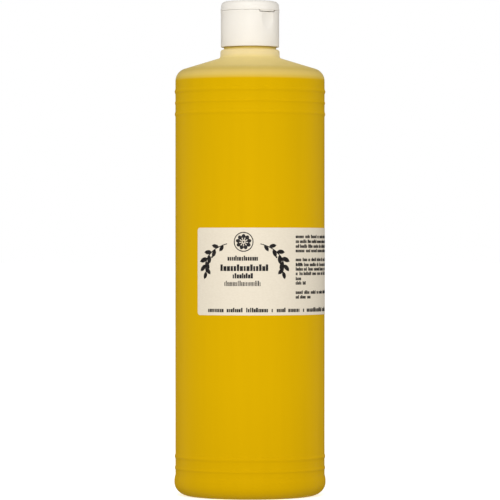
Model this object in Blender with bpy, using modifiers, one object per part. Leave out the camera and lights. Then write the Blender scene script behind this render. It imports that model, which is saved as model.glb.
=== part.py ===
"""One-litre liquid soap refill bottle with a screw-on flip-top closure.

Metres, +Z up. The origin is the centre of the base, -Y is the label's side and +X is to the right of it.
The lid opens about the hinge empty's own X axis, and positive turns open it.
"""
import math

import bmesh
import bpy
from mathutils import Vector

MM = 0.001
SIDES = 48              # facets round every turned piece
CLEARANCE = 0.3 * MM    # between pieces that touch on the real object
MERGE = 0.00001

# Bottle body
BODY_R = 39.15 * MM
BODY_WALL = 0.9 * MM
SHOULDER_Z = 217.5 * MM         # where the straight body ends
SHOULDER_CORNER_R = 6.5 * MM
SHOULDER_SLOPE = math.radians(17.0)
RIBS = (                        # height, half width, how far each stands out
    (211.8 * MM, 1.9 * MM, 0.36 * MM),
    (205.8 * MM, 1.3 * MM, 0.22 * MM),
    (200.0 * MM, 1.9 * MM, 0.30 * MM),
    (20.7 * MM, 1.9 * MM, 0.34 * MM),
    (14.65 * MM, 1.4 * MM, 0.28 * MM),
)
HEEL_TOP_Z = 11.2 * MM
HEEL_Z = 7.6 * MM
HEEL_R = 39.7 * MM
BASE_RING_R = (27.6 * MM, 31.4 * MM)
PUSH_UP = 3.2 * MM

# Bottle neck
NECK_ROOT_R = 15.55 * MM
NECK_ROOT_TOP_Z = 233.9 * MM
NECK_ROOT_EDGE_R = 1.4 * MM
TRANSFER_R = 13.7 * MM
TRANSFER_TOP_Z = 236.7 * MM
FINISH_R = 12.6 * MM
BORE_R = 10.9 * MM
MOUTH_Z = 251.2 * MM

# Soap
FILL_Z = 218.4 * MM

# Closure
SKIRT_R = 15.28 * MM
SKIRT_WALL = 1.3 * MM
SKIRT_BOTTOM_Z = 235.2 * MM
DECK_Z = (251.5 * MM, 252.9 * MM)
RIM_BEAD_R = 15.42 * MM
SEAM_Z = 254.0 * MM
PLUG_SEAL_R = (9.6 * MM, 10.5 * MM)
PLUG_SEAL_DEPTH = 2.6 * MM
SPOUT_R = (3.2 * MM, 4.3 * MM)      # at its lip and at the deck
SPOUT_TOP_Z = 255.6 * MM
ORIFICE_R = 1.9 * MM

# Lid
LID_R = 15.2 * MM
LID_BEAD_R = 15.42 * MM
LID_TOP_Z = 259.1 * MM
LID_EDGE_R = 2.5 * MM
LID_WALL = 1.2 * MM
LID_PIN_R = 1.5 * MM
LID_PIN_TIP_Z = 253.9 * MM
NOTCH_ANGLE = math.radians(38.0)        # thumb notch, right of the front
NOTCH_WIDTH = (9.6 * MM, 12.0 * MM)     # of the gap in the rim, at its floor and at the seam
NOTCH_DROP = 1.0 * MM
SCOOP_DEPTH = 0.9 * MM
SCOOP_R = 17.5 * MM
HINGE_R = 15.7 * MM
HINGE_Z = 254.15 * MM

# Label
LABEL_FROM = -45.0      # degrees right of the front
LABEL_TO = 105.0
LABEL_Z = (95.2 * MM, 140.3 * MM)
LABEL_THICKNESS = 0.12 * MM


def clear_scene():
    for obj in list(bpy.data.objects):
        bpy.data.objects.remove(obj, do_unlink=True)


def new_collection(name):
    collection = bpy.data.collections.new(name)
    bpy.context.scene.collection.children.link(collection)
    return collection


def make_material(name, color, roughness, alpha=1.0):
    material = bpy.data.materials.new(name)
    material.use_nodes = True
    shader = material.node_tree.nodes["Principled BSDF"]
    shader.inputs["Base Color"].default_value = (*color, 1.0)
    shader.inputs["Roughness"].default_value = roughness
    shader.inputs["Metallic"].default_value = 0.0
    shader.inputs["Alpha"].default_value = alpha
    return material


def add_mesh(collection, name, verts, edges, faces, material=None):
    mesh = bpy.data.meshes.new(name)
    mesh.from_pydata(verts, edges, faces)
    if material:
        mesh.materials.append(material)
    obj = bpy.data.objects.new(name, mesh)
    collection.objects.link(obj)
    return obj


def arc(center, radius, start, end, count):
    """Points on an arc in the (r, z) plane; angles in degrees, 0 is outward and 90 is up."""
    points = []
    for i in range(count + 1):
        angle = math.radians(start + (end - start) * i / count)
        points.append((center[0] + radius * math.cos(angle), center[1] + radius * math.sin(angle)))
    return points


def turned(collection, name, profile, material=None):
    """A solid of revolution; the profile runs down its outer side."""
    verts = [(r, 0.0, z) for r, z in profile]
    closed = profile[0][0] > 0.0
    edges = [(i, i + 1) for i in range(len(verts) - 1)]
    if closed:
        edges.append((len(verts) - 1, 0))
    obj = add_mesh(collection, name, verts, edges, [], material)
    screw = obj.modifiers.new("Turn", "SCREW")
    screw.steps = SIDES
    screw.render_steps = SIDES
    screw.use_merge_vertices = True
    screw.merge_threshold = MERGE
    screw.use_smooth_shade = True
    return obj


def as_cutter(obj):
    obj.hide_render = True
    obj.display_type = "WIRE"
    return obj


def boolean(obj, tool, operation):
    modifier = obj.modifiers.new(operation.title(), "BOOLEAN")
    modifier.operation = operation
    modifier.solver = "EXACT"
    modifier.object = tool
    return modifier


def around(angle_from_front, radius, z):
    """A point at an angle to the right of the front."""
    return Vector((radius * math.sin(angle_from_front), -radius * math.cos(angle_from_front), z))


def rib_points(z, half_width, stand_out):
    """A low round rib on the body, from its top edge down to its bottom edge."""
    points = []
    for i in range(5):
        t = 1.0 - i / 2.0
        points.append((BODY_R + stand_out * math.cos(t * math.pi / 2.0), z + t * half_width))
    return points


def shoulder_points(inset):
    """The cone and the round corner below it, from the neck root down, set in from the outside."""
    corner_r = SHOULDER_CORNER_R - inset
    center = (BODY_R - SHOULDER_CORNER_R, SHOULDER_Z)
    corner = arc(center, corner_r, 90.0 - math.degrees(SHOULDER_SLOPE), 0.0, 5)
    start_r = NECK_ROOT_R if inset == 0.0 else BORE_R + inset
    rise = (corner[0][0] - start_r) * math.tan(SHOULDER_SLOPE)
    return [(start_r, corner[0][1] + rise)] + corner


def heel_curve(inset):
    """The round corner from the heel band down to the resting ring."""
    ring_r = BASE_RING_R[1]
    width = HEEL_R - ring_r - inset
    height = HEEL_Z - 0.6 * MM - inset
    points = []
    for i in range(1, 6):
        angle = math.radians(90.0 * i / 5)
        points.append((ring_r + width * math.cos(angle), inset + height * (1.0 - math.sin(angle))))
    return points


def base_dome(rise):
    """The pushed-up middle of the base, from the step inside its ring to the axis."""
    points = []
    for i in range(5):
        t = i / 4
        r = (BASE_RING_R[0] - 1.2 * MM) * (1.0 - t)
        points.append((r, rise + PUSH_UP * (0.35 + 0.65 * math.sin(0.5 * math.pi * t))))
    return points


def bottle_outside():
    neck_edge_center = (NECK_ROOT_R - NECK_ROOT_EDGE_R, NECK_ROOT_TOP_Z - NECK_ROOT_EDGE_R)
    points = [
        (BORE_R + 0.4 * MM, MOUTH_Z),
        (FINISH_R - 0.3 * MM, MOUTH_Z),
        (FINISH_R, MOUTH_Z - 0.3 * MM),
        (FINISH_R, TRANSFER_TOP_Z + 0.5 * MM),
        (TRANSFER_R, TRANSFER_TOP_Z),
        (TRANSFER_R, NECK_ROOT_TOP_Z),
    ]
    points += arc(neck_edge_center, NECK_ROOT_EDGE_R, 90.0, 0.0, 3)
    points += shoulder_points(0.0)
    for z, half_width, stand_out in RIBS:
        points += rib_points(z, half_width, stand_out)
    points += [
        (BODY_R, HEEL_TOP_Z),
        (BODY_R + 0.7 * (HEEL_R - BODY_R), HEEL_TOP_Z - 1.3 * MM),
        (HEEL_R, HEEL_Z + 0.6 * MM),
        (HEEL_R, HEEL_Z - 0.6 * MM),
    ]
    points += heel_curve(0.0)
    points += [(BASE_RING_R[0], 0.0)]
    points += base_dome(0.0)
    return points


def bottle_inside(inset):
    """The inner wall from the axis of the base up to the shoulder, set in from the outside."""
    points = list(reversed(base_dome(inset)))
    points += [(BASE_RING_R[0], inset)]
    points += reversed(heel_curve(inset))
    points += [(BODY_R - inset, HEEL_TOP_Z)]
    return points


def make_bottle(collection):
    material = make_material("natural_plastic", (0.93, 0.84, 0.52), 0.4, alpha=0.55)
    inside = bottle_inside(BODY_WALL)
    inside += reversed(shoulder_points(BODY_WALL))
    inside += [(BORE_R, MOUTH_Z - 0.4 * MM)]
    return turned(collection, "bottle", inside + bottle_outside(), material)


def make_soap(collection):
    material = make_material("golden_soap", (0.72, 0.48, 0.0), 0.25)
    inset = BODY_WALL + CLEARANCE
    wall = bottle_inside(inset)
    corner = [p for p in reversed(shoulder_points(inset)) if p[1] < FILL_Z]
    profile = list(reversed(wall + corner))
    profile = [(0.0, FILL_Z), (profile[0][0], FILL_Z)] + profile
    return turned(collection, "liquid_soap", profile, material)


def notch_scoop(cutters):
    """A ball whose flank presses a thumb scoop into the skirt, just under the notch."""
    bm = bmesh.new()
    bmesh.ops.create_uvsphere(bm, u_segments=48, v_segments=32, radius=SCOOP_R)
    mesh = bpy.data.meshes.new("notch_scoop")
    bm.to_mesh(mesh)
    bm.free()
    obj = bpy.data.objects.new("notch_scoop", mesh)
    cutters.objects.link(obj)
    obj.location = around(NOTCH_ANGLE, SKIRT_R - SCOOP_DEPTH + SCOOP_R, SEAM_Z - 4.2 * MM)
    return as_cutter(obj)


def notch_block(cutters, name, widths, low, high):
    """A block across the rim at the notch, narrower at its foot."""
    bottom_width, top_width = widths
    bm = bmesh.new()
    bmesh.ops.create_cube(bm, size=1.0)
    for vert in bm.verts:
        width = top_width if vert.co.z > 0.0 else bottom_width
        vert.co = Vector((vert.co.x * width, vert.co.y * 5.0 * MM, low if vert.co.z < 0.0 else high))
    mesh = bpy.data.meshes.new(name)
    bm.to_mesh(mesh)
    bm.free()
    obj = bpy.data.objects.new(name, mesh)
    cutters.objects.link(obj)
    obj.location = around(NOTCH_ANGLE, LID_R - 0.6 * MM, 0.0)
    obj.rotation_euler = (0.0, 0.0, NOTCH_ANGLE)
    return as_cutter(obj)


def make_closure(collection, cutters, material):
    inner_r = SKIRT_R - SKIRT_WALL
    deck_bottom, deck_top = DECK_Z
    seal_inner, seal_outer = PLUG_SEAL_R
    lip_r, foot_r = SPOUT_R
    rim_inner = RIM_BEAD_R - 1.5 * MM
    profile = [
        (ORIFICE_R, SPOUT_TOP_Z - 0.3 * MM),
        (ORIFICE_R + 0.3 * MM, SPOUT_TOP_Z),
        (lip_r - 0.3 * MM, SPOUT_TOP_Z),
        (lip_r, SPOUT_TOP_Z - 0.3 * MM),
        (lip_r + 0.3 * MM, deck_top + 0.8 * MM),
        (foot_r, deck_top),
        (rim_inner, deck_top),
        (rim_inner, SEAM_Z),
        (RIM_BEAD_R - 0.2 * MM, SEAM_Z),
        (RIM_BEAD_R, SEAM_Z - 0.2 * MM),
        (RIM_BEAD_R, SEAM_Z - 0.8 * MM),
        (SKIRT_R, SEAM_Z - 1.1 * MM),
        (SKIRT_R, SKIRT_BOTTOM_Z + 0.3 * MM),
        (SKIRT_R - 0.3 * MM, SKIRT_BOTTOM_Z),
        (inner_r + 0.2 * MM, SKIRT_BOTTOM_Z),
        (inner_r, SKIRT_BOTTOM_Z + 0.4 * MM),
        (inner_r, deck_bottom),
        (seal_outer, deck_bottom),
        (seal_outer, deck_bottom - PLUG_SEAL_DEPTH + 0.5 * MM),
        (seal_outer - 0.3 * MM, deck_bottom - PLUG_SEAL_DEPTH),
        (seal_inner, deck_bottom - PLUG_SEAL_DEPTH),
        (seal_inner, deck_bottom),
        (ORIFICE_R, deck_bottom),
    ]
    closure = turned(collection, "cap_base", profile, material)
    boolean(closure, notch_scoop(cutters), "DIFFERENCE")
    gap = notch_block(cutters, "rim_gap", NOTCH_WIDTH, SEAM_Z - NOTCH_DROP, SEAM_Z + 1.0 * MM)
    boolean(closure, gap, "DIFFERENCE")
    return closure


def make_lid_tab(cutters, material):
    """The thumb tab: the stretch of the lid's edge that reaches down into the notch."""
    outer = LID_BEAD_R - 0.15 * MM
    inner = LID_R - LID_WALL + 0.2 * MM
    low = SEAM_Z - NOTCH_DROP + CLEARANCE + 0.05 * MM
    high = SEAM_Z + CLEARANCE + 0.6 * MM
    profile = [
        (inner, high),
        (outer, high),
        (outer, low + 0.15 * MM),
        (outer - 0.15 * MM, low),
        (inner, low),
    ]
    ring = turned(cutters, "tab_ring", profile, material)
    widths = [width - 1.1 * MM for width in NOTCH_WIDTH]
    wedge = notch_block(cutters, "tab_wedge", widths, low - 0.5 * MM, high + 0.5 * MM)
    boolean(ring, wedge, "INTERSECT")
    return as_cutter(ring)


def make_lid(collection, cutters, material):
    bottom = SEAM_Z + CLEARANCE
    inner_r = LID_R - LID_WALL
    ceiling = LID_TOP_Z - 1.3 * MM
    profile = [(0.0, LID_TOP_Z)]
    profile += arc((LID_R - LID_EDGE_R, LID_TOP_Z - LID_EDGE_R), LID_EDGE_R, 90.0, 0.0, 5)
    profile += [
        (LID_R, bottom + 1.4 * MM),
        (LID_BEAD_R, bottom + 1.1 * MM),
        (LID_BEAD_R, bottom + 0.2 * MM),
        (LID_BEAD_R - 0.2 * MM, bottom),
        (inner_r, bottom),
        (inner_r, ceiling - 0.8 * MM),
        (inner_r - 0.8 * MM, ceiling),
        (LID_PIN_R + 0.5 * MM, ceiling),
        (LID_PIN_R, ceiling - 0.5 * MM),
        (LID_PIN_R, LID_PIN_TIP_Z + 0.4 * MM),
        (LID_PIN_R - 0.4 * MM, LID_PIN_TIP_Z),
        (0.0, LID_PIN_TIP_Z),
    ]
    lid = turned(collection, "cap_lid", profile, material)
    boolean(lid, make_lid_tab(cutters, material), "UNION")
    return lid


def hang_on_hinge(collection, lid):
    """An empty on the hinge line, opposite the notch, carries the lid."""
    hinge = bpy.data.objects.new("lid_hinge", None)
    collection.objects.link(hinge)
    hinge.location = around(NOTCH_ANGLE + math.pi, HINGE_R, HINGE_Z)
    hinge.rotation_euler = (0.0, 0.0, NOTCH_ANGLE + math.pi)
    bpy.context.view_layer.update()
    lid.parent = hinge
    lid.matrix_parent_inverse = hinge.matrix_world.inverted()
    return hinge


def make_label(collection):
    """A paper label: one thin strip round the body, its edges on the body's own facet lines."""
    material = make_material("label_paper", (0.93, 0.90, 0.78), 0.6)
    inner = BODY_R + CLEARANCE + 0.02 * MM
    facet = 360.0 / SIDES
    count = round((LABEL_TO - LABEL_FROM) / facet)
    low, high = LABEL_Z
    verts = []
    faces = []
    for i in range(count + 1):
        angle = math.radians(LABEL_FROM + i * facet)
        verts.append(around(angle, inner, low))
        verts.append(around(angle, inner, high))
    for i in range(count):
        faces.append((2 * i, 2 * i + 2, 2 * i + 3, 2 * i + 1))
    label = add_mesh(collection, "label", verts, [], faces, material)
    solidify = label.modifiers.new("Thickness", "SOLIDIFY")
    solidify.thickness = LABEL_THICKNESS
    solidify.offset = 1.0
    solidify.use_even_offset = True
    for face in label.data.polygons:
        face.use_smooth = True
    return label


def main():
    clear_scene()
    pack = new_collection("soap_refill_bottle")
    cutters = new_collection("cutters")
    cap_plastic = make_material("cap_plastic", (0.90, 0.88, 0.80), 0.38)
    make_bottle(pack)
    make_soap(pack)
    make_closure(pack, cutters, cap_plastic)
    lid = make_lid(pack, cutters, cap_plastic)
    hang_on_hinge(pack, lid)
    make_label(pack)


main()
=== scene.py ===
import math
import random

import bpy
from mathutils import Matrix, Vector


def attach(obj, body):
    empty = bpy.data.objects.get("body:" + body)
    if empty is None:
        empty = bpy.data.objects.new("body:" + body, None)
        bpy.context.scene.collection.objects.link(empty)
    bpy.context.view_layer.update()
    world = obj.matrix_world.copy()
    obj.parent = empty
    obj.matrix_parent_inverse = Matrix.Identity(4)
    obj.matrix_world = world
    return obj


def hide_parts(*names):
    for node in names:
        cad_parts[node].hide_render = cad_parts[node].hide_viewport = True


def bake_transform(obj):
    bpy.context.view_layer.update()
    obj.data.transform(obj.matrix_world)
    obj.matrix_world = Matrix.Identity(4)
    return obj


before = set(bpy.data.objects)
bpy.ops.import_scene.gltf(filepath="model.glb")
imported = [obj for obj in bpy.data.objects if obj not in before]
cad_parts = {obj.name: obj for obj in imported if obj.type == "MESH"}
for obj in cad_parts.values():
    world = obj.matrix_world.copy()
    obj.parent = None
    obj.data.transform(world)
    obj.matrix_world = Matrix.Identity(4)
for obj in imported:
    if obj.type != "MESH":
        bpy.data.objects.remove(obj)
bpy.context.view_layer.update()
mm = 0.001


def clearSelection():
    if bpy.context.object and bpy.context.object.mode != "OBJECT":
        bpy.ops.object.mode_set(mode="OBJECT")
    bpy.ops.object.select_all(action="DESELECT")


def makeActive(piece):
    clearSelection()
    piece.select_set(True)
    bpy.context.view_layer.objects.active = piece
    return piece


def arcPoints(centreR, centreZ, radius, fromDeg, toDeg, count):
    # 0 degrees points outward, 90 up
    points = []
    for i in range(count + 1):
        angle = math.radians(fromDeg + (toDeg - fromDeg) * i / count)
        points.append((centreR + radius * math.cos(angle), centreZ + radius * math.sin(angle)))
    return points


def lathe(name, outline, sides, turn=360.0, startDeg=0.0):
    # one vertex is pulled along the outline (radius, height in mm), then spun round the upright axis
    clearSelection()
    bpy.ops.mesh.primitive_plane_add(size=mm, location=(0, 0, 0))
    piece = bpy.context.object
    piece.name = name
    bpy.ops.object.mode_set(mode="EDIT")
    bpy.ops.mesh.select_mode(type="VERT")
    bpy.ops.mesh.merge(type="CENTER")
    a = math.radians(startDeg)
    out = Vector((math.sin(a), -math.cos(a), 0))   # 0 degrees is the front, positive to its right
    up = Vector((0, 0, 1))
    lastR, lastZ = outline[0]
    bpy.ops.transform.translate(value=(out * lastR + up * lastZ) * mm)
    for r, z in outline[1:]:
        step = (out * (r - lastR) + up * (z - lastZ)) * mm
        bpy.ops.mesh.extrude_region_move(TRANSFORM_OT_translate={"value": step})
        lastR, lastZ = r, z
    bpy.ops.mesh.select_all(action="SELECT")
    bpy.ops.mesh.spin(steps=sides, angle=math.radians(turn), center=(0, 0, 0), axis=(0, 0, -1))
    bpy.ops.mesh.select_all(action="SELECT")
    bpy.ops.mesh.remove_doubles(threshold=0.002 * mm)
    if turn < 360.0:
        bpy.ops.mesh.select_all(action="DESELECT")
        bpy.ops.mesh.select_non_manifold(extend=False, use_boundary=True, use_wire=False,
                                         use_multi_face=False, use_non_contiguous=False, use_verts=False)
        bpy.ops.mesh.edge_face_add()
    bpy.ops.mesh.select_all(action="SELECT")
    bpy.ops.mesh.normals_make_consistent(inside=False)
    bpy.ops.object.mode_set(mode="OBJECT")
    return piece


def applyBoolean(piece, tool, operation):
    makeActive(piece)
    cut = piece.modifiers.new(operation.title(), "BOOLEAN")
    cut.operation = operation
    cut.solver = "EXACT"
    cut.object = tool
    bpy.ops.object.modifier_apply(modifier=cut.name)
    bpy.data.objects.remove(tool)


def applyPlace(piece):
    makeActive(piece)
    bpy.ops.object.transform_apply(location=True, rotation=True, scale=True)


def turnAbout(piece, degrees):
    piece.rotation_euler[2] = math.radians(degrees)
    applyPlace(piece)


def selectVerts(piece, test):
    # edit mode, with the vertices picked by their place
    makeActive(piece)
    bpy.ops.object.mode_set(mode="EDIT")
    bpy.ops.mesh.select_mode(type="VERT")
    bpy.ops.mesh.select_all(action="DESELECT")
    bpy.ops.object.mode_set(mode="OBJECT")
    for v in piece.data.vertices:
        v.select = test(v.co)
    bpy.ops.object.mode_set(mode="EDIT")


def shade(piece, degrees=35.0):
    makeActive(piece)
    bpy.ops.object.shade_smooth_by_angle(angle=math.radians(degrees))


def joinAll(name, parts):
    clearSelection()
    for part in parts:
        part.select_set(True)
    bpy.context.view_layer.objects.active = parts[0]
    if len(parts) > 1:
        bpy.ops.object.join()
    piece = bpy.context.object
    piece.name = name
    applyPlace(piece)
    return piece


def hand(piece, body, slotName, material, *nodes):
    piece.data.materials.clear()
    piece.data.materials.append(material)
    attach(piece, body)
    if nodes:
        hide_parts(*nodes)


def newMaterial(name, **sockets):
    material = bpy.data.materials.new(name)
    material.use_nodes = True
    shader = material.node_tree.nodes["Principled BSDF"]
    for socket, value in sockets.items():
        shader.inputs[socket.replace("_", " ")].default_value = value
    return material, shader


def addNode(material, kind, x, y, **settings):
    node = material.node_tree.nodes.new("ShaderNode" + kind)
    node.location = (x, y)
    for name, value in settings.items():
        if hasattr(node, name):
            setattr(node, name, value)
        else:
            node.inputs[name.replace("_", " ")].default_value = value
    return node


def link(material, source, target):
    material.node_tree.links.new(source, target)


def fillRamp(node, stops):
    ramp = node.color_ramp
    while len(ramp.elements) < len(stops):
        ramp.elements.new(0.5)
    for element, (place, color) in zip(ramp.elements, stops):
        element.position = place
        element.color = (*color, 1.0)


def objectNoise(material, x, y, stretch, scale, detail=3.0, roughness=0.5):
    coords = addNode(material, "TexCoord", x - 400, y)
    mapping = addNode(material, "Mapping", x - 200, y, Scale=stretch)
    noise = addNode(material, "TexNoise", x, y, Scale=scale, Detail=detail, Roughness=roughness)
    link(material, coords.outputs["Object"], mapping.inputs["Vector"])
    link(material, mapping.outputs["Vector"], noise.inputs["Vector"])
    return noise


def heightAt(material, x, y):
    coords = addNode(material, "TexCoord", x - 400, y)
    parts = addNode(material, "SeparateXYZ", x - 200, y)
    link(material, coords.outputs["Object"], parts.inputs["Vector"])
    return parts


def remap(material, source, x, y, fromLow, fromHigh, toLow, toHigh, smooth=False):
    node = addNode(material, "MapRange", x, y)
    node.interpolation_type = "SMOOTHSTEP" if smooth else "LINEAR"
    node.inputs["From Min"].default_value = fromLow
    node.inputs["From Max"].default_value = fromHigh
    node.inputs["To Min"].default_value = toLow
    node.inputs["To Max"].default_value = toHigh
    link(material, source, node.inputs["Value"])
    return node.outputs["Result"]


def tinted(material, color, share, x, y, low, high):
    # multiplies a colour by a brightness that wanders between low and high
    brightness = remap(material, share, x - 200, y - 150, 0.3, 0.7, low, high)
    scale = addNode(material, "VectorMath", x, y, operation="SCALE")
    link(material, color, scale.inputs[0])
    link(material, brightness, scale.inputs["Scale"])
    return scale.outputs["Vector"]


def addBump(material, shader, height, x, y, distance, strength=1.0):
    bump = addNode(material, "Bump", x, y, Strength=strength, Distance=distance)
    link(material, height, bump.inputs["Height"])
    link(material, bump.outputs["Normal"], shader.inputs["Normal"])
    return bump


studio = {
    "cameraAway": 1.77, "cameraHigh": 0.1288, "lens": 242.7, "target": (0, 0, 0.13),
    "ambient": 0.47, "below": 0.78, "backdrop": 1.0,
    "stripPower": 10.5, "stripSize": (0.20, 0.6), "stripPlace": (-0.16, -1.5, 0.75),
    "fillPower": 6.0, "fillSize": (0.6, 0.6), "fillPlace": (0.12, -1.6, 0.75),
    "topPower": 0.8, "topSize": (0.6, 0.6), "topPlace": (0.1, -0.5, 1.3),
    "rimPower": 6.0, "rimSize": (0.5, 1.0), "rimPlace": (1.15, 0.96, 0.15),
    "floorSize": 60.0, "floorTone": 0.86, "floorGlow": 0.62,
}


def makeCamera():
    scene = bpy.context.scene
    scene.view_settings.view_transform = "Standard"
    clearSelection()
    bpy.ops.object.camera_add(location=(0, -studio["cameraAway"], studio["cameraHigh"]),
                              rotation=(math.radians(90), 0, 0))
    camera = bpy.context.object
    camera.data.lens = studio["lens"]
    camera.data.sensor_width = 36.0
    camera.data.clip_start, camera.data.clip_end = 0.05, 100.0
    scene.camera = camera


def addArea(name, place, size, power, mirrored=False):
    clearSelection()
    bpy.ops.object.light_add(type="AREA", location=place)
    lamp = bpy.context.object
    lamp.name = name
    lamp.data.shape = "RECTANGLE"
    lamp.data.size, lamp.data.size_y = size
    lamp.data.energy = power
    lamp.rotation_euler = (Vector(studio["target"]) - Vector(place)).to_track_quat("-Z", "Y").to_euler()
    lamp.visible_camera = False
    lamp.visible_glossy = mirrored


def makeAir():
    # even light from all round, a little stronger from below, in front of a white backdrop
    world = bpy.data.worlds.new("studioAir")
    world.use_nodes = True
    bpy.context.scene.world = world
    tree = world.node_tree
    output = tree.nodes["World Output"]
    air = tree.nodes["Background"]
    air.inputs["Color"].default_value = (1, 1, 1, 1)
    coords = tree.nodes.new("ShaderNodeTexCoord")
    parts = tree.nodes.new("ShaderNodeSeparateXYZ")
    tree.links.new(coords.outputs["Generated"], parts.inputs["Vector"])
    level = tree.nodes.new("ShaderNodeMapRange")
    level.inputs["From Min"].default_value = -0.6
    level.inputs["From Max"].default_value = 0.6
    level.inputs["To Min"].default_value = studio["below"]
    level.inputs["To Max"].default_value = studio["ambient"]
    tree.links.new(parts.outputs["Z"], level.inputs["Value"])
    tree.links.new(level.outputs["Result"], air.inputs["Strength"])
    backdrop = tree.nodes.new("ShaderNodeBackground")
    backdrop.inputs["Strength"].default_value = studio["backdrop"]
    backdrop.inputs["Color"].default_value = (1, 1, 1, 1)
    rays = tree.nodes.new("ShaderNodeLightPath")
    seen = tree.nodes.new("ShaderNodeMixShader")
    tree.links.new(rays.outputs["Is Camera Ray"], seen.inputs[0])
    tree.links.new(air.outputs[0], seen.inputs[1])
    tree.links.new(backdrop.outputs[0], seen.inputs[2])
    tree.links.new(seen.outputs[0], output.inputs["Surface"])
    world.cycles_visibility.glossy = False    # the even air makes no veil of reflection


def makeFloor():
    clearSelection()
    bpy.ops.mesh.primitive_plane_add(size=studio["floorSize"], location=(0, 0, 0))
    floor = bpy.context.object
    floor.name = "floor"
    paint, shader = newMaterial("floorPaint", Roughness=0.9, Specular_IOR_Level=0.0)
    tone = studio["floorTone"]
    shader.inputs["Base Color"].default_value = (tone, tone, tone, 1)
    shader.inputs["Emission Color"].default_value = (1, 1, 1, 1)
    shader.inputs["Emission Strength"].default_value = studio["floorGlow"]
    floor.data.materials.append(paint)
    floor.visible_diffuse = False    # the floor gives no bounce of its own, the air below does
    floor.visible_glossy = False


def makeLights():
    # only the strip shows as a highlight
    addArea("stripSoftbox", studio["stripPlace"], studio["stripSize"], studio["stripPower"], True)
    addArea("fillSoftbox", studio["fillPlace"], studio["fillSize"], studio["fillPower"])
    addArea("topSoftbox", studio["topPlace"], studio["topSize"], studio["topPower"])
    x, y, z = studio["rimPlace"]
    for side in (-1, 1):
        addArea("rimSoftbox", (side * x, y, z), studio["rimSize"], studio["rimPower"])


makeCamera()
makeAir()
makeFloor()
makeLights()
print("studio ready")


bottle = {
    "sides": 128, "bodyR": 39.15, "wall": 0.9,
    "shoulderZ": 217.5, "cornerR": 6.5, "slopeDeg": 17.0,
    # height, half width and stand out of each rib, from the foot up
    "ribs": ((14.65, 1.25, 0.32), (20.7, 1.5, 0.38),
             (200.0, 1.5, 0.36), (205.8, 1.1, 0.30), (211.8, 1.6, 0.42)),
    "heelR": 39.7, "heelZ": (7.0, 8.2), "heelTopZ": 11.2,
    "ringR": (27.6, 31.4), "pushUp": 3.2,
    "rootR": 15.55, "rootTopZ": 233.9, "rootEdge": 1.4, "rootFillet": 0.9,
    "transferR": 13.7, "transferTopZ": 236.7, "finishR": 12.6, "boreR": 10.9, "mouthZ": 251.2,
    "fillZ": 218.4, "soapGap": 0.12,
}
neckThread = {"wallR": bottle["finishR"], "crest": 0.62, "turns": 2.1, "pitch": 4.4, "footZ": 239.3}


def baseOutline(inset):
    # from the axis out over the pushed-up middle, the resting ring and the heel
    b = bottle
    points = []
    ringIn, ringOut = b["ringR"]
    stepR = ringIn - 1.2
    for i in range(9):
        t = i / 8
        points.append((stepR * t, inset + b["pushUp"] * (0.35 + 0.65 * math.cos(0.5 * math.pi * t))))
    points += [(ringIn - 0.5, inset + 0.28), (ringIn + 0.3, inset), (ringOut - 0.6, inset)]
    width = b["heelR"] - ringOut - inset
    height = b["heelZ"][0] - inset
    for i in range(11):
        a = math.radians(9.0 * i)
        points.append((ringOut + width * math.sin(a), inset + height * (1.0 - math.cos(a))))
    return points


def ribOutline(z, halfWidth, standOut):
    points = []
    for i in range(11):
        t = -1.0 + i / 5
        points.append((bottle["bodyR"] + standOut * 0.5 * (1.0 + math.cos(math.pi * t)), z + t * halfWidth))
    return points


def shoulderOutline(inset, innerR):
    # round corner at the top of the body, then the cone up to the neck
    b = bottle
    corner = arcPoints(b["bodyR"] - b["cornerR"], b["shoulderZ"], b["cornerR"] - inset,
                       0.0, 90.0 - b["slopeDeg"], 12)
    rise = (corner[-1][0] - innerR) * math.tan(math.radians(b["slopeDeg"]))
    return corner + [(innerR, corner[-1][1] + rise)]


def makeShell():
    # one outline up the outside, over the mouth and back down the inside
    b = bottle
    outside = baseOutline(0.0)
    outside += [(b["heelR"], b["heelZ"][1]), (b["bodyR"] + 0.4, 9.7), (b["bodyR"] + 0.1, 10.7),
                (b["bodyR"], b["heelTopZ"])]
    for rib in b["ribs"]:
        outside += ribOutline(*rib)
    shoulder = shoulderOutline(0.0, b["rootR"])
    coneTopR, coneTopZ = shoulder.pop()
    outside += shoulder
    fillet, edge = b["rootFillet"], b["rootEdge"]
    outside += [(coneTopR + fillet, coneTopZ - fillet * math.tan(math.radians(b["slopeDeg"]))),
                (coneTopR + 0.3, coneTopZ + 0.12), (coneTopR, coneTopZ + fillet)]
    outside += arcPoints(b["rootR"] - edge, b["rootTopZ"] - edge, edge, 0.0, 90.0, 6)
    outside += [(b["transferR"], b["rootTopZ"]), (b["transferR"], b["transferTopZ"] - 0.3),
                (b["transferR"] - 0.3, b["transferTopZ"]), (b["finishR"], b["transferTopZ"] + 0.5),
                (b["finishR"], b["mouthZ"] - 0.4), (b["finishR"] - 0.4, b["mouthZ"]),
                (b["boreR"] + 0.4, b["mouthZ"]), (b["boreR"], b["mouthZ"] - 0.4)]
    inside = [(b["boreR"], b["transferTopZ"] + 0.6), (b["transferR"] - 1.3, b["transferTopZ"] - 1.5),
              (b["rootR"] - 1.6, b["rootTopZ"] - 1.6), (b["rootR"] - 1.3, b["rootTopZ"] - 2.6)]
    inside += reversed(shoulderOutline(b["wall"], b["rootR"] - 1.3))
    inside += [(b["bodyR"] - b["wall"], b["heelTopZ"])]
    inside += reversed(baseOutline(b["wall"]))
    shell = lathe("bottleShell", outside + inside, b["sides"])
    shade(shell, 40.0)
    return shell


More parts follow.
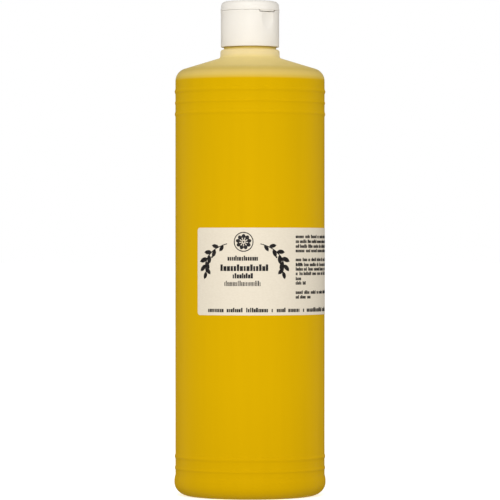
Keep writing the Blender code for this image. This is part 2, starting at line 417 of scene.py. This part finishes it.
def makeThread(name, spec):
    # a ridge wound up a wall, its two ends sunk into it; a negative crest points inward
    clearSelection()
    bpy.ops.mesh.primitive_plane_add(size=2.0 * mm, location=(0, 0, 0), rotation=(math.radians(90), 0, 0))
    piece = bpy.context.object
    piece.name = name
    applyPlace(piece)
    side = math.copysign(1.0, spec["crest"])
    selectVerts(piece, lambda co: co.x * side > 0)
    bpy.ops.transform.resize(value=(1, 1, 0.4), center_override=(0, 0, 0))
    bpy.ops.mesh.select_all(action="SELECT")
    bpy.ops.mesh.delete(type="ONLY_FACE")
    bpy.ops.mesh.select_all(action="SELECT")
    halfDeep = 0.42
    bpy.ops.transform.resize(value=(halfDeep, 1, 1), center_override=(0, 0, 0))
    middleR = spec["wallR"] + spec["crest"] - halfDeep * side
    bpy.ops.transform.translate(value=(middleR * mm, 0, spec["footZ"] * mm))
    bpy.ops.object.mode_set(mode="OBJECT")
    screw = piece.modifiers.new("Wind", "SCREW")
    screw.angle = math.radians(360.0 * spec["turns"])
    screw.screw_offset = spec["pitch"] * spec["turns"] * mm
    screw.steps = screw.render_steps = round(72 * spec["turns"])
    bpy.ops.object.modifier_apply(modifier=screw.name)
    last = len(piece.data.vertices) // 4 - 1
    taper = 0.09                    # share of its length over which each end sinks
    for v in piece.data.vertices:
        along = (v.index // 4) / last
        sunk = 1.0 - min(1.0, along / taper, (1.0 - along) / taper)
        r = math.hypot(v.co.x, v.co.y)
        share = (r - sunk * (spec["crest"] + 0.12 * side) * mm) / r
        v.co.x *= share
        v.co.y *= share
    bpy.ops.object.mode_set(mode="EDIT")
    bpy.ops.mesh.select_all(action="DESELECT")
    bpy.ops.mesh.select_non_manifold(extend=False)
    bpy.ops.mesh.fill()
    bpy.ops.mesh.select_all(action="SELECT")
    bpy.ops.mesh.normals_make_consistent(inside=False)
    bpy.ops.object.mode_set(mode="OBJECT")
    shade(piece, 30.0)
    return piece


def makeSoap():
    # level on top, and drawn up a little where it meets the wall
    b = bottle
    gap = b["wall"] + b["soapGap"]
    wallR = b["bodyR"] - gap
    level = b["fillZ"]
    surface = [(0.0, level), (wallR * 0.5, level), (wallR - 3.0, level), (wallR - 1.6, level + 0.08),
               (wallR - 0.7, level + 0.3)]
    corner = [point for point in shoulderOutline(gap, b["rootR"]) if point[1] < level + 0.9]
    wall = list(reversed(corner)) + [(wallR, b["heelTopZ"])]
    soap = lathe("goldenSoap", surface + wall + list(reversed(baseOutline(gap))), b["sides"])
    shade(soap, 40.0)
    return soap


plastic = {
    # shares of the height with their colours: gold up to the fill and cream over it, with painted shade and
    # light in the same ramp: painted shade darker towards the foot, a painted shade band at the shoulder's
    # crease, a yellow fading up the cone that is painted light from the soap, and a dark gold ring at the
    # neck that is painted shadow under the cap's skirt
    "height": 0.260,
    "tonesWithPaintedShadeAndLight": (
        # painted shade: the gold is darker towards the foot, as if light falls from above
        (0.0, (0.65, 0.380, 0.001)), (0.10, (0.676, 0.398, 0.001)), (0.22, (0.695, 0.413, 0.001)),
        (0.60, (0.692, 0.412, 0.001)), (0.836, (0.66, 0.399, 0.001)), (0.843, (0.77, 0.565, 0.12)),
        # painted shade: the dark stop at 0.8562 is a shaded band at the crease between the shoulder's
        # corner and its cone
        (0.850, (0.75, 0.555, 0.16)), (0.8562, (0.655, 0.49, 0.125)), (0.863, (0.82, 0.64, 0.225)),
        # painted light: from 0.863 up to 0.93 the yellow fades to cream, light carried up through the wall
        # from the soap
        (0.882, (0.87, 0.70, 0.28)), (0.892, (0.89, 0.75, 0.425)), (0.8985, (0.88, 0.715, 0.34)),
        # painted shadow: the dark gold stop at 0.903 is shade under the cap's skirt
        (0.903, (0.68, 0.50, 0.07)), (0.912, (0.86, 0.74, 0.45)), (0.93, (0.90, 0.85, 0.72)),
    ),
    "filled": 0.94, "empty": 0.82, "roughness": (0.40, 0.52), "tint": (1.0, 0.78, 0.05, 1.0),
}


def makeNaturalPlastic():
    # milky blow-moulded plastic: gold where the soap stands behind it, cream above the fill; its height
    # ramp also holds painted shade and painted light
    m, shader = newMaterial("naturalPlastic", Specular_IOR_Level=0.05, Diffuse_Roughness=0.15)
    shader.inputs["Specular Tint"].default_value = plastic["tint"]
    place = heightAt(m, -1600, 400)
    fullHeight = remap(m, place.outputs["Z"], -1400, 400, 0.0, plastic["height"], 0.0, 1.0)
    ramp = addNode(m, "ValToRGB", -1200, 400)
    fillRamp(ramp, plastic["tonesWithPaintedShadeAndLight"])
    link(m, fullHeight, ramp.inputs["Fac"])
    streaks = objectNoise(m, -1200, 0, (1.0, 1.0, 0.06), 160.0)
    color = tinted(m, ramp.outputs["Color"], streaks.outputs["Fac"], -900, 400, 0.985, 1.015)
    link(m, color, shader.inputs["Base Color"])
    level = bottle["fillZ"] * mm
    clearness = remap(m, place.outputs["Z"], -900, 100, level - mm, level + mm,
                      plastic["filled"], plastic["empty"], True)
    link(m, clearness, shader.inputs["Alpha"])
    scuffs = objectNoise(m, -1200, -300, (1.0, 1.0, 0.4), 90.0, 5.0, 0.6)
    dull = remap(m, scuffs.outputs["Fac"], -900, -300, 0.35, 0.75, *plastic["roughness"])
    link(m, dull, shader.inputs["Roughness"])
    grain = objectNoise(m, -1200, -600, (1.0, 1.0, 1.0), 1400.0, 2.0)
    addBump(m, shader, grain.outputs["Fac"], -600, -500, 0.03 * mm, 0.35)
    return m


def makeSoapMaterial():
    m, shader = newMaterial("goldenLiquid", Specular_IOR_Level=0.4)
    swirl = objectNoise(m, -900, 200, (1.0, 1.0, 0.5), 30.0, 2.0)
    ramp = addNode(m, "ValToRGB", -600, 200)
    fillRamp(ramp, ((0.3, (0.78, 0.45, 0.003)), (0.7, (0.84, 0.52, 0.006))))
    link(m, swirl.outputs["Fac"], ramp.inputs["Fac"])
    link(m, ramp.outputs["Color"], shader.inputs["Base Color"])
    link(m, remap(m, swirl.outputs["Fac"], -600, -100, 0.3, 0.7, 0.12, 0.2), shader.inputs["Roughness"])
    return m


naturalPlastic = makeNaturalPlastic()
shell = makeShell()
thread = makeThread("neckThread", neckThread)
soap = makeSoap()
hand(shell, "pack", "natural_plastic", naturalPlastic, "bottle")
hand(thread, "pack", "natural_plastic", naturalPlastic)
hand(soap, "pack", "golden_soap", makeSoapMaterial(), "liquid_soap")
print("bottle and soap ready")


cap = {
    "sides": 128, "notchDeg": 38.0,
    "skirtR": 15.28, "wall": 1.3, "footZ": 235.2, "deckZ": (251.5, 252.9),
    "beadR": 15.42, "beadZ": 253.1, "seamZ": 254.05,
    "sealR": (9.6, 10.5), "sealDeep": 2.6,
    "spoutR": (3.2, 4.3), "spoutTopZ": 255.6, "holeR": 1.9,
    "scoopDeep": 0.9, "scoopR": 17.5, "scoopZ": 249.8,
    "gapWide": (9.6, 12.0), "gapDeep": 1.0,
    "lidR": 15.2, "lidWall": 1.2, "lidFootZ": 254.15, "lidTopZ": 259.1, "lidEdge": 2.5,
    "pinR": 1.5, "pinTipZ": 253.9,
    "hingeR": 15.7, "hingeZ": 254.15, "strapTurn": 22.0, "strapBlendZ": (253.6, 254.7),
}
closureThread = {"wallR": cap["skirtR"] - cap["wall"], "crest": -0.55, "turns": 1.6,
                 "pitch": neckThread["pitch"], "footZ": 238.2}


def closureOutline():
    # from the orifice over the spout, deck and rim, down the skirt and back up inside
    c = cap
    innerR = c["skirtR"] - c["wall"]
    deckLow, deckTop = c["deckZ"]
    lipR, spoutFootR = c["spoutR"]
    rimR = c["beadR"] - 1.5
    sealIn, sealOut = c["sealR"]
    points = arcPoints(c["holeR"] + 0.3, c["spoutTopZ"] - 0.3, 0.3, 180.0, 90.0, 3)
    points += arcPoints(lipR - 0.3, c["spoutTopZ"] - 0.3, 0.3, 90.0, 0.0, 3)
    points += [(lipR + 0.25, deckTop + 1.0), (lipR + 0.55, deckTop + 0.35), (spoutFootR, deckTop)]
    points += [(rimR - 0.3, deckTop), (rimR, deckTop + 0.25), (rimR, c["seamZ"] - 0.1),
               (rimR + 0.1, c["seamZ"])]
    points += arcPoints(c["beadR"] - 0.25, c["seamZ"] - 0.25, 0.25, 90.0, 0.0, 3)
    points += [(c["beadR"], c["beadZ"] + 0.2), (c["skirtR"] + 0.05, c["beadZ"] - 0.1),
               (c["skirtR"], c["beadZ"] - 0.4)]
    points += [(c["skirtR"], 248.0), (c["skirtR"], 240.0)]
    points += arcPoints(c["skirtR"] - 0.35, c["footZ"] + 0.35, 0.35, 0.0, -90.0, 4)
    points += [(innerR + 0.2, c["footZ"]), (innerR, c["footZ"] + 0.3), (innerR, deckLow - 0.4),
               (innerR - 0.4, deckLow)]
    sealFoot = deckLow - c["sealDeep"]
    points += [(sealOut, deckLow), (sealOut, sealFoot + 0.5), (sealOut - 0.35, sealFoot),
               (sealIn, sealFoot), (sealIn, deckLow), (c["holeR"], deckLow)]
    points.append(points[0])
    return points


def addNotchBlock(name, widths, low, high):
    # a block across the rim at the thumb notch, narrower at its foot
    c = cap
    a = math.radians(c["notchDeg"])
    clearSelection()
    bpy.ops.mesh.primitive_cube_add(size=1.0, location=(0, 0, 0))
    block = bpy.context.object
    block.name = name
    block.scale = (widths[1] * mm, 5.0 * mm, (high - low) * mm)
    applyPlace(block)
    selectVerts(block, lambda co: co.z < 0)
    bpy.ops.transform.resize(value=(widths[0] / widths[1], 1, 1), center_override=(0, 0, 0))
    bpy.ops.object.mode_set(mode="OBJECT")
    r = (c["lidR"] - 0.6) * mm
    block.location = (r * math.sin(a), -r * math.cos(a), 0.5 * (low + high) * mm)
    block.rotation_euler = (0, 0, a)
    applyPlace(block)
    return block


def makeClosure():
    c = cap
    closure = lathe("capClosure", closureOutline(), c["sides"])
    a = math.radians(c["notchDeg"])
    r = (c["skirtR"] - c["scoopDeep"] + c["scoopR"]) * mm
    clearSelection()
    bpy.ops.mesh.primitive_uv_sphere_add(segments=96, ring_count=64, radius=c["scoopR"] * mm,
                                         location=(r * math.sin(a), -r * math.cos(a), c["scoopZ"] * mm))
    applyBoolean(closure, bpy.context.object, "DIFFERENCE")
    gap = addNotchBlock("rimGap", c["gapWide"], c["seamZ"] - c["gapDeep"], c["seamZ"] + 1.0)
    applyBoolean(closure, gap, "DIFFERENCE")
    shade(closure, 30.0)
    return closure


def makeLid():
    c = cap
    low = c["lidFootZ"]
    innerR = c["lidR"] - c["lidWall"]
    ceiling = c["lidTopZ"] - 1.3
    outline = [(0.0, c["lidTopZ"]), (6.0, c["lidTopZ"])]
    outline += arcPoints(c["lidR"] - c["lidEdge"], c["lidTopZ"] - c["lidEdge"], c["lidEdge"], 90.0, 0.0, 12)
    outline += [(c["lidR"], low + 1.35), (c["beadR"] - 0.03, low + 1.1)]
    outline += arcPoints(c["beadR"] - 0.2, low + 0.2, 0.2, 0.0, -90.0, 3)
    outline += [(innerR + 0.1, low), (innerR, low + 0.1), (innerR, ceiling - 0.8),
                (innerR - 0.25, ceiling - 0.25), (innerR - 0.8, ceiling), (9.2, ceiling),
                (9.0, ceiling - 0.5), (8.4, ceiling - 0.5), (8.2, ceiling), (c["pinR"] + 0.6, ceiling),
                (c["pinR"], ceiling - 0.6), (c["pinR"], c["pinTipZ"] + 0.5),
                (c["pinR"] - 0.5, c["pinTipZ"]), (0.0, c["pinTipZ"])]
    lid = lathe("capLid", outline, c["sides"])
    # the thumb tab: a short turn of the lid's edge that reaches down into the notch
    tabLow = c["seamZ"] - c["gapDeep"] + 0.32
    tab = [(innerR + 0.2, low + 0.6), (c["beadR"] - 0.15, low + 0.6), (c["beadR"] - 0.15, tabLow + 0.2),
           (c["beadR"] - 0.35, tabLow), (innerR + 0.2, tabLow), (innerR + 0.2, low + 0.6)]
    wide = math.degrees((c["gapWide"][1] - 1.1) / c["lidR"])
    tab = lathe("thumbTab", tab, 20, turn=wide, startDeg=-0.5 * wide)
    selectVerts(tab, lambda co: co.z < low * mm)
    bpy.ops.transform.resize(value=(0.80, 1, 1), center_override=(0, 0, 0))
    bpy.ops.object.mode_set(mode="OBJECT")
    turnAbout(tab, c["notchDeg"])
    applyBoolean(lid, tab, "UNION")
    shade(lid, 30.0)
    return lid


def makeHingeStrap():
    # the thin strap moulded between rim and lid, bowed outward at its fold
    c = cap
    skirtR, lidR, hingeR = c["skirtR"], c["lidR"], c["hingeR"]
    outline = [(skirtR - 0.5, 252.6), (skirtR + 0.05, 252.6), (skirtR + 0.4, 253.2),
               (hingeR + 0.05, 253.8), (hingeR + 0.15, c["hingeZ"]), (hingeR + 0.05, 254.5),
               (lidR + 0.45, 255.1), (lidR + 0.05, 255.8), (lidR - 0.5, 255.8), (lidR - 0.1, 255.1),
               (hingeR - 0.35, 254.5), (hingeR - 0.2, c["hingeZ"]), (hingeR - 0.35, 253.8),
               (skirtR - 0.1, 253.2), (skirtR - 0.5, 252.6)]
    strap = lathe("hingeStrap", outline, 12, turn=c["strapTurn"], startDeg=-0.5 * c["strapTurn"])
    for v in strap.data.vertices:   # the fold itself runs straight, along the hinge line
        share = max(0.0, 1.0 - abs(v.co.z / mm - c["hingeZ"]) / 1.1)
        v.co.y -= share * (math.hypot(v.co.x, v.co.y) + v.co.y)
    turnAbout(strap, c["notchDeg"] + 180.0)
    shade(strap, 40.0)
    return strap


def makeCapPlastic():
    m, shader = newMaterial("ivoryCap", Specular_IOR_Level=0.14)
    tone = objectNoise(m, -900, 200, (1.0, 1.0, 1.0), 120.0, 3.0)
    ramp = addNode(m, "ValToRGB", -600, 200)
    fillRamp(ramp, ((0.3, (0.81, 0.77, 0.703)), (0.7, (0.83, 0.791, 0.726))))
    link(m, tone.outputs["Fac"], ramp.inputs["Fac"])
    link(m, ramp.outputs["Color"], shader.inputs["Base Color"])
    link(m, remap(m, tone.outputs["Fac"], -600, -50, 0.3, 0.7, 0.36, 0.46), shader.inputs["Roughness"])
    grain = objectNoise(m, -900, -300, (1.0, 1.0, 1.0), 2500.0, 2.0)
    addBump(m, shader, grain.outputs["Fac"], -300, -300, 0.02 * mm, 0.4)
    return m


ivoryCap = makeCapPlastic()
hand(makeClosure(), "closure", "cap_plastic", ivoryCap, "cap_base")
hand(makeThread("closureThread", closureThread), "closure", "cap_plastic", ivoryCap)
hand(makeLid(), "lid", "cap_plastic", ivoryCap, "cap_lid")
strap = makeHingeStrap()
strap.data.materials.append(ivoryCap)
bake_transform(strap)
print("closure and lid ready")


label = {
    "fromDeg": -43.5, "toDeg": 105.0, "z": (95.2, 140.3), "cornerR": 1.6,
    "innerR": 39.17, "thick": 0.10,
}
labelOuterR = label["innerR"] + label["thick"]


def wrapOn(piece, radius):
    # flat drawing in x and z, wrapped round the bottle; y is the height above the paper
    for v in piece.data.vertices:
        angle = v.co.x / (radius * mm)
        r = radius * mm - v.co.y
        v.co = (r * math.sin(angle), -r * math.cos(angle), v.co.z)


def cutColumns(piece, step):
    makeActive(piece)
    low = min(v.co.x for v in piece.data.vertices)
    high = max(v.co.x for v in piece.data.vertices)
    bpy.ops.object.mode_set(mode="EDIT")
    x = low + step * mm
    while x < high - 0.2 * step * mm:
        bpy.ops.mesh.select_all(action="SELECT")
        bpy.ops.mesh.bisect(plane_co=(x, 0, 0), plane_no=(1, 0, 0))
        x += step * mm
    bpy.ops.object.mode_set(mode="OBJECT")


def makePaper():
    p = label
    left = math.radians(p["fromDeg"]) * p["innerR"]
    right = math.radians(p["toDeg"]) * p["innerR"]
    low, high = p["z"]
    clearSelection()
    middle = (0.5 * (left + right) * mm, 0, 0.5 * (low + high) * mm)
    bpy.ops.mesh.primitive_plane_add(size=1.0, location=middle, rotation=(math.radians(90), 0, 0))
    paper = bpy.context.object
    paper.name = "labelPaper"
    paper.scale = ((right - left) * mm, (high - low) * mm, 1)
    applyPlace(paper)
    bpy.ops.object.mode_set(mode="EDIT")
    bpy.ops.mesh.select_all(action="SELECT")
    bpy.ops.mesh.bevel(offset=p["cornerR"] * mm, segments=6, affect="VERTICES")
    bpy.ops.object.mode_set(mode="OBJECT")
    cutColumns(paper, 1.5)
    wrapOn(paper, p["innerR"])
    bpy.ops.object.mode_set(mode="EDIT")
    bpy.ops.mesh.select_all(action="SELECT")
    bpy.ops.mesh.normals_make_consistent(inside=False)
    bpy.ops.object.mode_set(mode="OBJECT")
    thickness = paper.modifiers.new("Thickness", "SOLIDIFY")
    thickness.thickness = p["thick"] * mm
    thickness.offset = 1.0
    bpy.ops.object.modifier_apply(modifier=thickness.name)
    shade(paper, 30.0)
    return paper


def makeLabelPaper():
    m, shader = newMaterial("creamPaper", Specular_IOR_Level=0.2)
    fibres = objectNoise(m, -900, 200, (1.0, 1.0, 2.2), 700.0, 4.0, 0.6)
    ramp = addNode(m, "ValToRGB", -600, 200)
    fillRamp(ramp, ((0.3, (0.735, 0.655, 0.52)), (0.7, (0.778, 0.70, 0.566))))
    link(m, fibres.outputs["Fac"], ramp.inputs["Fac"])
    link(m, ramp.outputs["Color"], shader.inputs["Base Color"])
    link(m, remap(m, fibres.outputs["Fac"], -600, -50, 0.3, 0.7, 0.5, 0.62), shader.inputs["Roughness"])
    addBump(m, shader, fibres.outputs["Fac"], -300, -300, 0.02 * mm, 0.3)
    return m


hand(makePaper(), "pack", "label_paper", makeLabelPaper(), "label")
print("label paper ready")


prints = {
    "relief": 0.03, "seed": 7,
    # each line of words: left end, foot height, tall height, stroke width, gap, lengths of its words
    "words": (
        (-11.7, 123.3, 2.6, 0.90, 0.25, (15.9,)),
        (-15.6, 118.0, 3.4, 1.25, 0.32, (25.4,)),
        (-9.0, 114.2, 2.7, 0.90, 0.25, (10.2,)),
        (-13.4, 110.3, 2.7, 0.44, 0.36, (18.7,)),
        (-22.8, 96.8, 2.3, 0.78, 0.24, (8.6, 8.2, 11.2, 0.8, 4.6, 7.6, 0.8, 15.0, 6.4, 10.0)),
    ),
    "wordGap": (2.2, 0.3),
    "columnLeft": 25.3, "columnWide": 42.0, "columnStroke": 0.62, "columnGap": 0.14, "columnTall": 1.8,
    "columnWords": (1.6, 6.5), "columnWordGap": 0.9,
    # foot height of each line in the side column, and how much of its width the line fills
    "columnLines": ((134.9, 1.0), (132.4, 0.97), (129.9, 1.0), (127.6, 0.9), (123.0, 1.0), (120.4, 0.96),
                    (118.1, 1.0), (115.8, 0.93), (113.2, 0.09), (110.9, 0.2), (106.1, 0.95), (103.7, 0.27)),
    "emblem": (-3.3, 133.0), "wheelR": 5.1, "rind": 0.5, "coreR": 0.5, "segments": 9, "segmentHalf": 1.08,
    "wreath": (-3.3, 120.5), "wreathSize": (21.2, 12.6), "stem": (0.984, 1.016, 66, -14),
    "leaf": (5.1, 2.7), "leaves": 10, "leafFromDeg": 60.0, "leafStepDeg": 8.0, "leafLeanDeg": 36.0,
    "berryR": 0.5,
}


def standFlat(name):
    # the shape just added, with its turn put into its mesh
    clearSelection()
    piece = bpy.context.object
    piece.name = name
    piece.select_set(True)
    applyPlace(piece)
    return piece


def stamp(source, u, z, turnDeg=0.0, wide=1.0, tall=1.0):
    # a copy of a flat shape, with its own mesh, laid at u across and z up
    copy = source.copy()
    copy.data = source.data.copy()
    bpy.context.scene.collection.objects.link(copy)
    copy.location = (u * mm, 0, z * mm)
    copy.rotation_euler = (0, -math.radians(turnDeg), 0)
    copy.scale = (wide, 1, tall)
    return copy


def makeBlock():
    clearSelection()
    bpy.ops.mesh.primitive_plane_add(size=mm, location=(0, 0, 0), rotation=(math.radians(90), 0, 0))
    return standFlat("printBlock")


def makeDisc(name, radius, vertices=20):
    clearSelection()
    bpy.ops.mesh.primitive_circle_add(vertices=vertices, radius=radius * mm, fill_type="NGON",
                                      location=(0, 0, 0), rotation=(math.radians(90), 0, 0))
    return standFlat(name)


def makeLeaf(long, wide):
    # pointed oval in two halves, with a bare midrib between them; its stalk end is at the origin
    half = makeDisc("leafHalf", 1.0, 20)
    bpy.ops.object.mode_set(mode="EDIT")
    bpy.ops.mesh.select_all(action="SELECT")
    bpy.ops.transform.resize(value=(0.42 * long, 1, 0.5 * wide), center_override=(0, 0, 0))
    bpy.ops.object.mode_set(mode="OBJECT")
    tip = 0.40 * long * mm
    for side in (-1, 1):
        selectVerts(half, lambda co: side * co.x > tip)
        bpy.ops.transform.translate(value=(side * 0.09 * long * mm, 0, 0))
        bpy.ops.object.mode_set(mode="OBJECT")
    bpy.ops.object.mode_set(mode="EDIT")
    bpy.ops.mesh.select_all(action="SELECT")
    bpy.ops.mesh.bisect(plane_co=(0, 0, 0.09 * mm), plane_no=(0, 0, 1), clear_inner=True)
    bpy.ops.mesh.select_all(action="SELECT")
    bpy.ops.transform.translate(value=(0.52 * long * mm, 0, 0))
    bpy.ops.object.mode_set(mode="OBJECT")
    other = stamp(half, 0, 0, 0, 1, -0.8)
    return joinAll("leaf", [half, other])


def makeArc(name, innerR, outerR, fromDeg, toDeg, steps):
    # a flat band spun round the depth axis
    clearSelection()
    bpy.ops.mesh.primitive_plane_add(size=mm, location=(0, 0, 0))
    piece = bpy.context.object
    piece.name = name
    a = math.radians(fromDeg)
    out = Vector((math.cos(a), 0, math.sin(a)))
    bpy.ops.object.mode_set(mode="EDIT")
    bpy.ops.mesh.select_mode(type="VERT")
    bpy.ops.mesh.merge(type="CENTER")
    bpy.ops.transform.translate(value=out * innerR * mm)
    bpy.ops.mesh.extrude_region_move(TRANSFORM_OT_translate={"value": out * (outerR - innerR) * mm})
    bpy.ops.mesh.select_all(action="SELECT")
    bpy.ops.mesh.spin(steps=steps, angle=math.radians(toDeg - fromDeg), center=(0, 0, 0), axis=(0, 1, 0))
    bpy.ops.object.mode_set(mode="OBJECT")
    return piece


def finishPrint(piece):
    cutColumns(piece, 1.0)
    wrapOn(piece, labelOuterR)
    bpy.ops.object.mode_set(mode="EDIT")
    bpy.ops.mesh.select_mode(type="FACE")
    bpy.ops.mesh.select_all(action="DESELECT")
    bpy.ops.object.mode_set(mode="OBJECT")
    for face in piece.data.polygons:
        out = Vector((face.center.x, face.center.y, 0))
        face.select = face.normal.dot(out) < 0
    bpy.ops.object.mode_set(mode="EDIT")
    bpy.ops.mesh.flip_normals()
    bpy.ops.mesh.select_mode(type="VERT")
    bpy.ops.object.mode_set(mode="OBJECT")
    relief = piece.modifiers.new("Relief", "SOLIDIFY")
    relief.thickness = prints["relief"] * mm
    relief.offset = 1.0
    bpy.ops.object.modifier_apply(modifier=relief.name)
    shade(piece, 30.0)
    return piece


def setWord(block, parts, chance, left, foot, tall, stroke, gap, long):
    # a word is a run of plain upright blocks of two heights, never letters
    u = left
    while u < left + long - 0.5 * stroke:
        wide = stroke * chance.choice((0.8, 1.0, 1.0, 1.3))
        high = tall * chance.choice((0.74, 0.74, 0.74, 1.0))
        parts.append(stamp(block, u + 0.5 * wide, foot + 0.5 * high, 0, wide, high))
        u += wide + gap * chance.choice((0.7, 1.0, 1.2))


def makeWords():
    p = prints
    chance = random.Random(p["seed"])
    block = makeBlock()
    parts = []
    perStroke, extra = p["wordGap"]
    for left, foot, tall, stroke, gap, words in p["words"]:
        u = left
        for long in words:
            setWord(block, parts, chance, u, foot, tall, stroke, gap, long)
            u += long + perStroke * stroke + extra
    tall, stroke, gap = p["columnTall"], p["columnStroke"], p["columnGap"]
    for foot, share in p["columnLines"]:
        u = p["columnLeft"]
        end = u + p["columnWide"] * share
        while u < end - 1.0:
            long = min(chance.uniform(*p["columnWords"]), end - u)
            setWord(block, parts, chance, u, foot, tall, stroke, gap, long)
            u += long + p["columnWordGap"]
    bpy.data.objects.remove(block)
    return finishPrint(joinAll("wordPrint", parts))


def makeWheel(u, z):
    # a cut citrus: its rind, its core and the segments between them
    p = prints
    r = p["wheelR"]
    segmentLong = r - 1.9
    ring = makeArc("wheelRing", r - p["rind"], r, 0, 360, 64)
    parts = [stamp(ring, u, z)]
    core = makeDisc("wheelCore", p["coreR"], 16)
    parts.append(stamp(core, u, z))
    wedge = makeDisc("wheelWedge", 1.0, 20)
    bpy.ops.object.mode_set(mode="EDIT")
    bpy.ops.mesh.select_all(action="SELECT")
    bpy.ops.transform.resize(value=(0.5 * segmentLong, 1, p["segmentHalf"]), center_override=(0, 0, 0))
    bpy.ops.object.mode_set(mode="OBJECT")
    selectVerts(wedge, lambda co: co.x < -0.1 * mm)
    bpy.ops.transform.resize(value=(1, 1, 0.40), center_override=(0, 0, 0))
    bpy.ops.object.mode_set(mode="OBJECT")
    away = 0.5 * segmentLong + 0.85
    for i in range(p["segments"]):
        turn = 360.0 * i / p["segments"] + 90.0
        a = math.radians(turn)
        parts.append(stamp(wedge, u + away * math.cos(a), z + away * math.sin(a), turn))
    for source in (ring, core, wedge):
        bpy.data.objects.remove(source)
    return parts


def makeSpray(side, leaf, berry):
    # one half of the wreath: a bowed stem, leaves leaning to both sides of it and a few berries
    p = prints
    u, z = p["wreath"]
    wide, tall = p["wreathSize"]
    stem = makeArc("stem", *p["stem"], 40)
    parts = [stamp(stem, u, z, 0, side * wide, tall)]
    bpy.data.objects.remove(stem)
    for i in range(p["leaves"]):
        around = math.radians(p["leafFromDeg"] - p["leafStepDeg"] * i)
        x, y = wide * math.cos(around), tall * math.sin(around)
        along = math.degrees(math.atan2(-tall * math.cos(around), wide * math.sin(around)))
        turn = along + (p["leafLeanDeg"] if i % 2 else -p["leafLeanDeg"])
        size = 0.78 + 0.045 * min(i, p["leaves"] - i)
        if side < 0:
            turn = 180.0 - turn
        parts.append(stamp(leaf, u + side * x, z + y, turn, size, size))
        if i % 3 == 1:
            parts.append(stamp(berry, u + side * (x - 1.7 * math.cos(around)), z + y - 1.3))
    return parts


def makeEmblem():
    # a cut citrus wheel over a wreath of leaves
    parts = makeWheel(*prints["emblem"])
    leaf = makeLeaf(*prints["leaf"])
    berry = makeDisc("berry", prints["berryR"], 14)
    for side in (-1, 1):
        parts += makeSpray(side, leaf, berry)
    bpy.data.objects.remove(leaf)
    bpy.data.objects.remove(berry)
    return finishPrint(joinAll("citrusPrint", parts))


def makePrintInk():
    m, shader = newMaterial("blackInk", Specular_IOR_Level=0.25)
    wear = objectNoise(m, -900, 200, (1.0, 1.0, 1.0), 900.0, 3.0)
    ramp = addNode(m, "ValToRGB", -600, 200)
    fillRamp(ramp, ((0.35, (0.012, 0.010, 0.010)), (0.75, (0.035, 0.030, 0.028))))
    link(m, wear.outputs["Fac"], ramp.inputs["Fac"])
    link(m, ramp.outputs["Color"], shader.inputs["Base Color"])
    link(m, remap(m, wear.outputs["Fac"], -600, -50, 0.3, 0.7, 0.42, 0.55), shader.inputs["Roughness"])
    return m


blackInk = makePrintInk()
hand(makeWords(), "pack", "print_ink", blackInk)
hand(makeEmblem(), "pack", "print_ink", blackInk)
print("label print ready")
